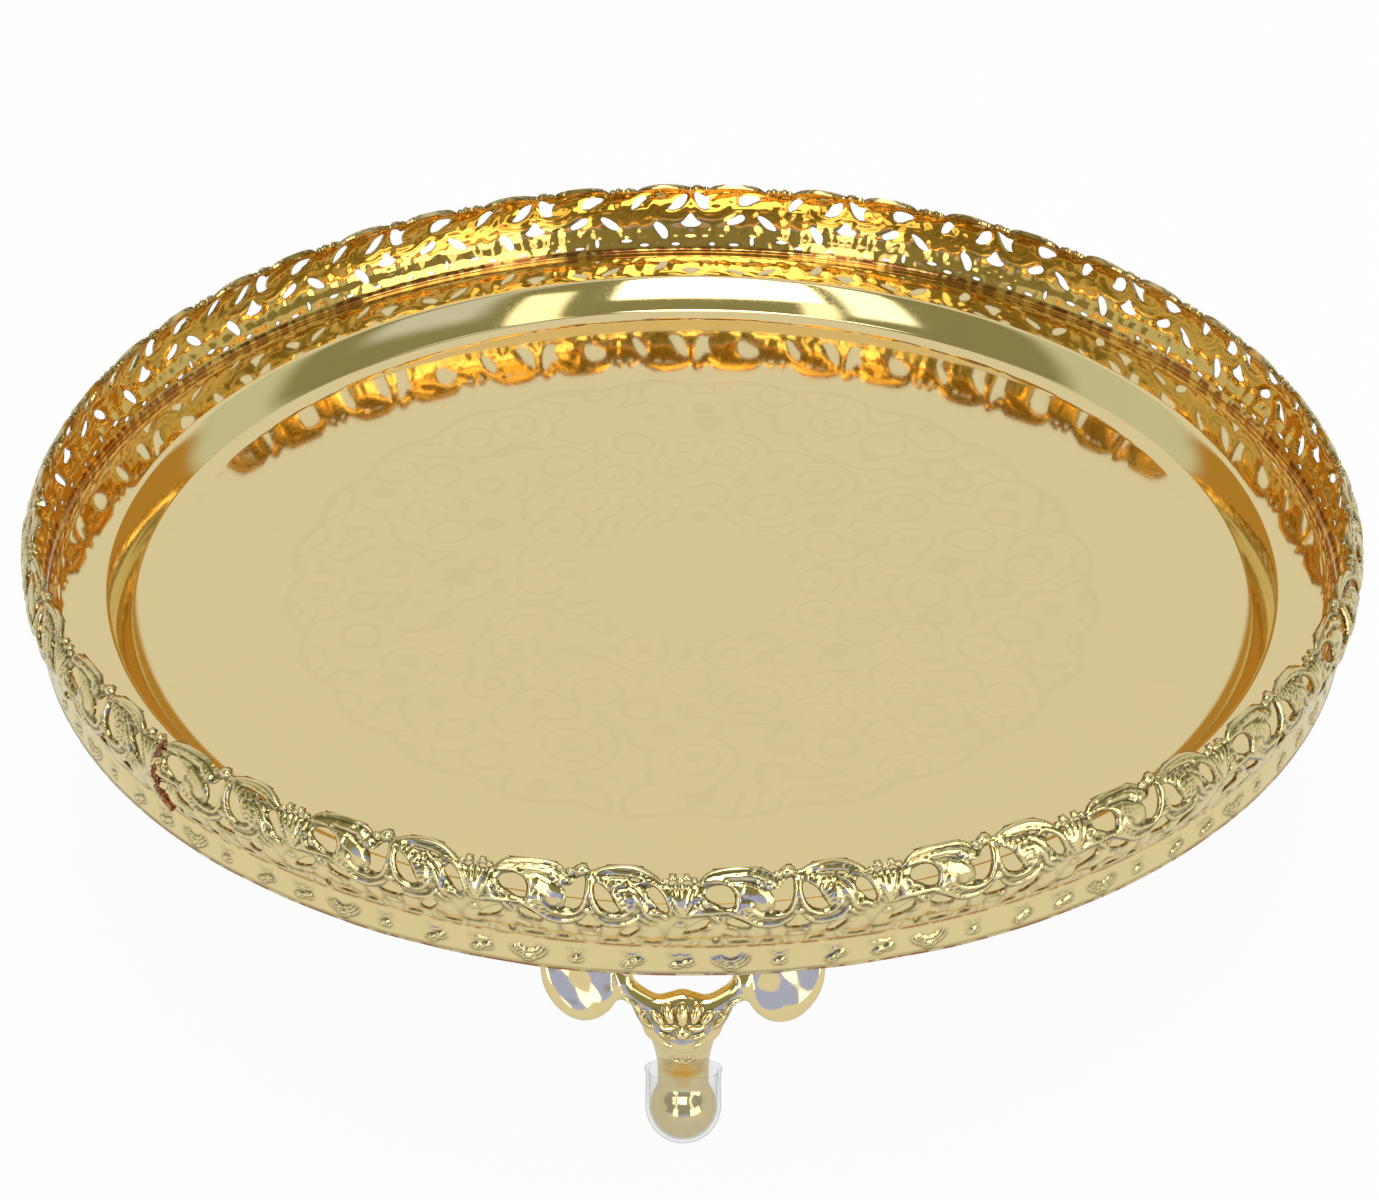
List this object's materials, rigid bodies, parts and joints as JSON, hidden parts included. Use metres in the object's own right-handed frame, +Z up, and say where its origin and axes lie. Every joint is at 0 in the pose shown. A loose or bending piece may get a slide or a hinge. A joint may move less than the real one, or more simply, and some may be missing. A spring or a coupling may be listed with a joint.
{
  "type": "cake stand",
  "caption": "Round gold-plated tray stand: pressed dish in a pierced, embossed gallery, on cast scroll feet with ball toes in clear protector cups.",
  "frame": {"origin": "centre of the footprint, on the surface that the stand rests on", "axes": "+Z up; the front foot is towards -Y"},
  "size_m": [0.325, 0.325, 0.0843],
  "materials": {
    "tray_gold": "mirror-polished gold plate with faint etched scrollwork",
    "gallery_gold": "polished gold plate on stamped and pierced strip",
    "cast_gold": "polished gold plate on a casting",
    "solder": "plated-over solder, darkened red-brown",
    "clear_plastic": "clear soft plastic"
  },
  "bodies": {
    "stand": {"tray": "tray_gold", "gallery": "gallery_gold", "gallery_seam": "solder", "rim_solder": "solder", "foot_front": "cast_gold", "foot_rear_right": "cast_gold", "foot_rear_left": "cast_gold", "foot_front_solder": "solder", "foot_rear_right_solder": "solder", "foot_rear_left_solder": "solder"},
    "front_cap": {"foot_front_cap": "clear_plastic"},
    "rear_right_cap": {"foot_rear_right_cap": "clear_plastic"},
    "rear_left_cap": {"foot_rear_left_cap": "clear_plastic"}
  },
  "joints": [
    {"name": "front_cap_pull", "type": "slide", "parent": "stand", "child": "front_cap", "axis": [0, 0, -1], "range_m": [0, 0.02]},
    {"name": "rear_right_cap_pull", "type": "slide", "parent": "stand", "child": "rear_right_cap", "axis": [0, 0, -1], "range_m": [0, 0.02]},
    {"name": "rear_left_cap_pull", "type": "slide", "parent": "stand", "child": "rear_left_cap", "axis": [0, 0, -1], "range_m": [0, 0.02]}
  ]
}
